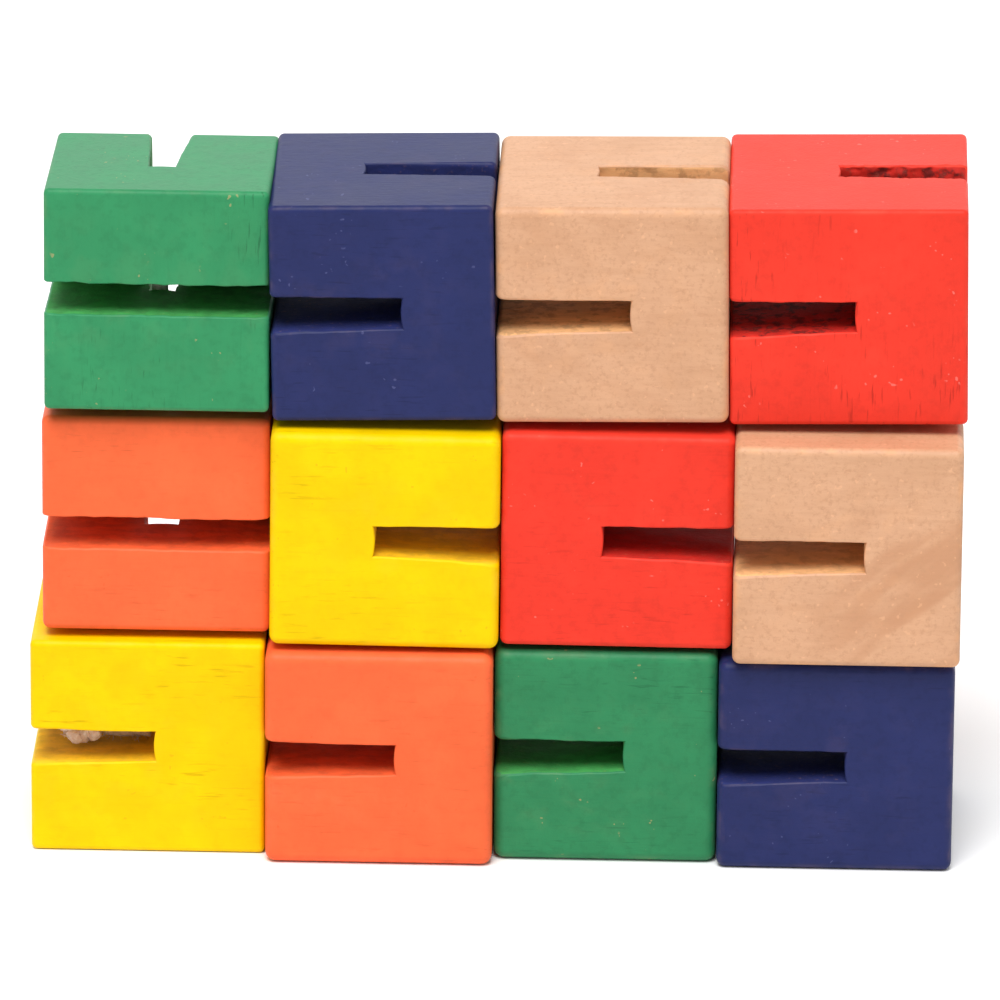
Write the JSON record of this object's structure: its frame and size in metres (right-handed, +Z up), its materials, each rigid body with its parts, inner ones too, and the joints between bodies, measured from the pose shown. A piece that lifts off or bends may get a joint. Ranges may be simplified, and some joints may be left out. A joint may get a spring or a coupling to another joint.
{
  "type": "twisty snake puzzle",
  "caption": "Chain of slotted wooden cubes strung on an elastic cord, folded into a flat standing wall; each link swivels or folds about the cord.",
  "frame": {"origin": "middle of the folded wall's base, on the surface it stands on", "axes": "+X along the wall to the right as seen from the front, +Y from the front to the back, +Z up"},
  "size_m": [0.0818, 0.0244, 0.0621],
  "materials": {
    "red": "satin red paint over fine grain",
    "natural": "bare sanded hardwood, lightly sealed",
    "blue": "satin dark blue paint over fine grain",
    "green": "satin green paint over fine grain",
    "orange": "satin orange paint over fine grain",
    "yellow": "satin yellow paint over fine grain",
    "cord": "off-white woven cover over elastic"
  },
  "bodies": {
    "block_01": {"block_01_red": "red", "cord_core_01": "cord", "knot_start": "cord"},
    "block_02": {"block_02_natural": "natural", "cord_core_02": "cord"},
    "block_03": {"block_03_blue": "blue", "cord_core_03": "cord"},
    "block_04": {"block_04_green": "green", "cord_core_04": "cord"},
    "block_05": {"block_05_orange": "orange", "cord_core_05": "cord"},
    "block_06": {"block_06_yellow": "yellow", "cord_core_06": "cord"},
    "block_07": {"block_07_red": "red", "cord_core_07": "cord"},
    "block_08": {"block_08_natural": "natural", "cord_core_08": "cord"},
    "block_09": {"block_09_blue": "blue", "cord_core_09": "cord"},
    "block_10": {"block_10_green": "green", "cord_core_10": "cord"},
    "block_11": {"block_11_orange": "orange", "cord_core_11": "cord"},
    "block_12": {"block_12_yellow": "yellow", "cord_core_12": "cord", "knot_end": "cord"},
    "crossing_08_09": {"cord_bead_08_09": "cord"},
    "cord_08_last": {"cord_strand_08_last": "cord"},
    "cord_07_next": {"cord_strand_07_next": "cord"},
    "crossing_06_07": {"cord_bead_06_07": "cord"},
    "cord_06_next": {"cord_strand_06_next": "cord"},
    "crossing_05_06": {"cord_bead_05_06": "cord"},
    "cord_05_next": {"cord_strand_05_next": "cord"},
    "crossing_04_05": {"cord_bead_04_05": "cord"},
    "cord_04_last": {"cord_strand_04_last": "cord"},
    "cord_03_next": {"cord_strand_03_next": "cord"},
    "crossing_02_03": {"cord_bead_02_03": "cord"},
    "cord_03_last": {"cord_strand_03_last": "cord"},
    "crossing_01_02": {"cord_bead_01_02": "cord"},
    "cord_01_next": {"cord_strand_01_next": "cord"},
    "crossing_09_10": {"cord_bead_09_10": "cord"},
    "cord_09_next": {"cord_strand_09_next": "cord"},
    "crossing_10_11": {"cord_bead_10_11": "cord"},
    "cord_10_next": {"cord_strand_10_next": "cord"},
    "crossing_11_12": {"cord_bead_11_12": "cord"},
    "cord_11_next": {"cord_strand_11_next": "cord"}
  },
  "joints": [
    {"name": "lower_link_stretch", "type": "slide", "parent": "block_09", "child": "crossing_08_09", "axis": [0, 0, 1], "range_m": [0, 0.008], "stiffness_N_per_m": 150, "springref_m": -0.02},
    {"name": "lower_link_swivel", "type": "hinge", "parent": "crossing_08_09", "child": "block_08", "pos_m": [0.03044, -0.00168, 0.02024], "axis": [0, 0, 1], "range_deg": [-180, 180]},
    {"name": "edge_07_08", "type": "hinge", "parent": "block_08", "child": "block_07", "pos_m": [0.02056, -0.01298, 0.03048], "axis": [0, 0, 1], "range_deg": [0, 180]},
    {"name": "cord_08_last_turn", "type": "hinge", "parent": "block_08", "child": "cord_08_last", "pos_m": [0.03074, -0.00218, 0.03048], "axis": [0, 0, 1], "range_deg": [0, 97]},
    {"name": "cord_07_next_turn", "type": "hinge", "parent": "block_07", "child": "cord_07_next", "pos_m": [0.01039, 0.00032, 0.03048], "axis": [0, 0, 1], "range_deg": [-83, 0]},
    {"name": "fold_06_07_roll", "type": "hinge", "parent": "block_07", "child": "crossing_06_07", "pos_m": [0.00021, 0.00032, 0.03048], "axis": [0, 0, 1], "range_deg": [-90, 0]},
    {"name": "fold_06_07", "type": "hinge", "parent": "crossing_06_07", "child": "block_06", "pos_m": [-0.00487, -0.00527, 0.03048], "axis": [0, 0, 1], "range_deg": [0, 180]},
    {"name": "cord_06_next_turn", "type": "hinge", "parent": "block_06", "child": "cord_06_next", "pos_m": [-0.00996, -0.00068, 0.03048], "axis": [0, 0, 1], "range_deg": [-95.61, 0]},
    {"name": "fold_05_06_roll", "type": "hinge", "parent": "block_06", "child": "crossing_05_06", "pos_m": [-0.02014, -0.00068, 0.03048], "axis": [0, 0, 1], "range_deg": [-90, 0]},
    {"name": "fold_05_06", "type": "hinge", "parent": "crossing_05_06", "child": "block_05", "pos_m": [-0.02522, -0.00447, 0.03048], "axis": [0, 0, 1], "range_deg": [0, 180]},
    {"name": "cord_05_next_turn", "type": "hinge", "parent": "block_05", "child": "cord_05_next", "pos_m": [-0.03031, 0.00192, 0.03048], "axis": [0, 0, 1], "range_deg": [-75.67, 0]},
    {"name": "upper_link_stretch", "type": "slide", "parent": "block_05", "child": "crossing_04_05", "axis": [0, 0.0262, 0.9997], "range_m": [0, 0.008], "stiffness_N_per_m": 150, "springref_m": -0.02},
    {"name": "upper_link_swivel", "type": "hinge", "parent": "crossing_04_05", "child": "block_04", "pos_m": [-0.03031, 0.00137, 0.04095], "axis": [0, 0.0262, 0.9997], "range_deg": [-180, 180]},
    {"name": "edge_03_04", "type": "hinge", "parent": "block_04", "child": "block_03", "pos_m": [-0.02014, -0.01068, 0.05142], "axis": [0, 0, -1], "range_deg": [0, 180]},
    {"name": "cord_04_last_turn", "type": "hinge", "parent": "block_04", "child": "cord_04_last", "pos_m": [-0.03031, 0.00082, 0.05142], "axis": [0, 0, -1], "range_deg": [0, 89.16]},
    {"name": "cord_03_next_turn", "type": "hinge", "parent": "block_03", "child": "cord_03_next", "pos_m": [-0.00996, 0.00052, 0.05142], "axis": [0, 0, -1], "range_deg": [-90.84, 0]},
    {"name": "lift_02_03", "type": "hinge", "parent": "block_03", "child": "crossing_02_03", "pos_m": [-0.00487, 0.00052, 0.05651], "axis": [0, -1, 0], "range_deg": [0, 180]},
    {"name": "lift_02_03_roll", "type": "hinge", "parent": "crossing_02_03", "child": "block_02", "pos_m": [0.00021, 0.00052, 0.05142], "axis": [0, -1, 0], "range_deg": [-90, 0]},
    {"name": "cord_03_last_turn", "type": "hinge", "parent": "block_03", "child": "cord_03_last", "pos_m": [-0.00996, 0.00052, 0.05142], "axis": [0, -1, 0], "range_deg": [0, 90]},
    {"name": "fold_01_02_roll", "type": "hinge", "parent": "block_02", "child": "crossing_01_02", "pos_m": [0.02056, 0.00082, 0.05142], "axis": [0, 0, -1], "range_deg": [-90, 0]},
    {"name": "fold_01_02", "type": "hinge", "parent": "crossing_01_02", "child": "block_01", "pos_m": [0.02565, -0.00402, 0.05142], "axis": [0, 0, -1], "range_deg": [0, 180]},
    {"name": "cord_01_next_turn", "type": "hinge", "parent": "block_01", "child": "cord_01_next", "pos_m": [0.03074, 0.00132, 0.05142], "axis": [0, 0, -1], "range_deg": [-87.19, 0]},
    {"name": "fold_09_10", "type": "hinge", "parent": "block_09", "child": "crossing_09_10", "pos_m": [0.02505, -0.00552, 0.01], "axis": [0, 0, 1], "range_deg": [0, 180]},
    {"name": "fold_09_10_roll", "type": "hinge", "parent": "crossing_09_10", "child": "block_10", "pos_m": [0.01996, 0.00032, 0.01], "axis": [0, 0, 1], "range_deg": [-90, 0]},
    {"name": "cord_09_next_turn", "type": "hinge", "parent": "block_09", "child": "cord_09_next", "pos_m": [0.03014, -0.00118, 0.01], "axis": [0, 0, 1], "range_deg": [0, 98.39]},
    {"name": "fold_10_11", "type": "hinge", "parent": "block_10", "child": "crossing_10_11", "pos_m": [0.0047, 0.00466, 0.01], "axis": [0, 0, -1], "range_deg": [0, 180]},
    {"name": "fold_10_11_roll", "type": "hinge", "parent": "crossing_10_11", "child": "block_11", "pos_m": [-0.00039, -0.00118, 0.01], "axis": [0, 0, -1], "range_deg": [-90, 0]},
    {"name": "cord_10_next_turn", "type": "hinge", "parent": "block_10", "child": "cord_10_next", "pos_m": [0.00979, 0.00032, 0.01], "axis": [0, 0, -1], "range_deg": [0, 98.39]},
    {"name": "fold_11_12", "type": "hinge", "parent": "block_11", "child": "crossing_11_12", "pos_m": [-0.01565, -0.00527, 0.01], "axis": [0, 0, 1], "range_deg": [0, 180]},
    {"name": "fold_11_12_roll", "type": "hinge", "parent": "crossing_11_12", "child": "block_12", "pos_m": [-0.02074, 0.00082, 0.01], "axis": [0, 0, 1], "range_deg": [-90, 0]},
    {"name": "cord_11_next_turn", "type": "hinge", "parent": "block_11", "child": "cord_11_next", "pos_m": [-0.01056, -0.00118, 0.01], "axis": [0, 0, 1], "range_deg": [0, 101.12]}
  ],
  "couplings": [
    {"joint": "cord_08_last_turn", "follows": "edge_07_08", "ratio": 0.53891},
    {"joint": "cord_07_next_turn", "follows": "edge_07_08", "ratio": -0.46109},
    {"joint": "fold_06_07_roll", "follows": "fold_06_07", "ratio": -0.5},
    {"joint": "cord_06_next_turn", "follows": "fold_06_07", "ratio": -0.53118},
    {"joint": "fold_05_06_roll", "follows": "fold_05_06", "ratio": -0.5},
    {"joint": "cord_05_next_turn", "follows": "fold_05_06", "ratio": -0.42037},
    {"joint": "cord_04_last_turn", "follows": "edge_03_04", "ratio": 0.49531},
    {"joint": "cord_03_next_turn", "follows": "edge_03_04", "ratio": -0.50469},
    {"joint": "lift_02_03_roll", "follows": "lift_02_03", "ratio": -0.5},
    {"joint": "cord_03_last_turn", "follows": "lift_02_03", "ratio": 0.5},
    {"joint": "fold_01_02_roll", "follows": "fold_01_02", "ratio": -0.5},
    {"joint": "cord_01_next_turn", "follows": "fold_01_02", "ratio": -0.48437},
    {"joint": "fold_09_10_roll", "follows": "fold_09_10", "ratio": -0.5},
    {"joint": "cord_09_next_turn", "follows": "fold_09_10", "ratio": 0.54659},
    {"joint": "fold_10_11_roll", "follows": "fold_10_11", "ratio": -0.5},
    {"joint": "cord_10_next_turn", "follows": "fold_10_11", "ratio": 0.54659},
    {"joint": "fold_11_12_roll", "follows": "fold_11_12", "ratio": -0.5},
    {"joint": "cord_11_next_turn", "follows": "fold_11_12", "ratio": 0.56178}
  ]
}
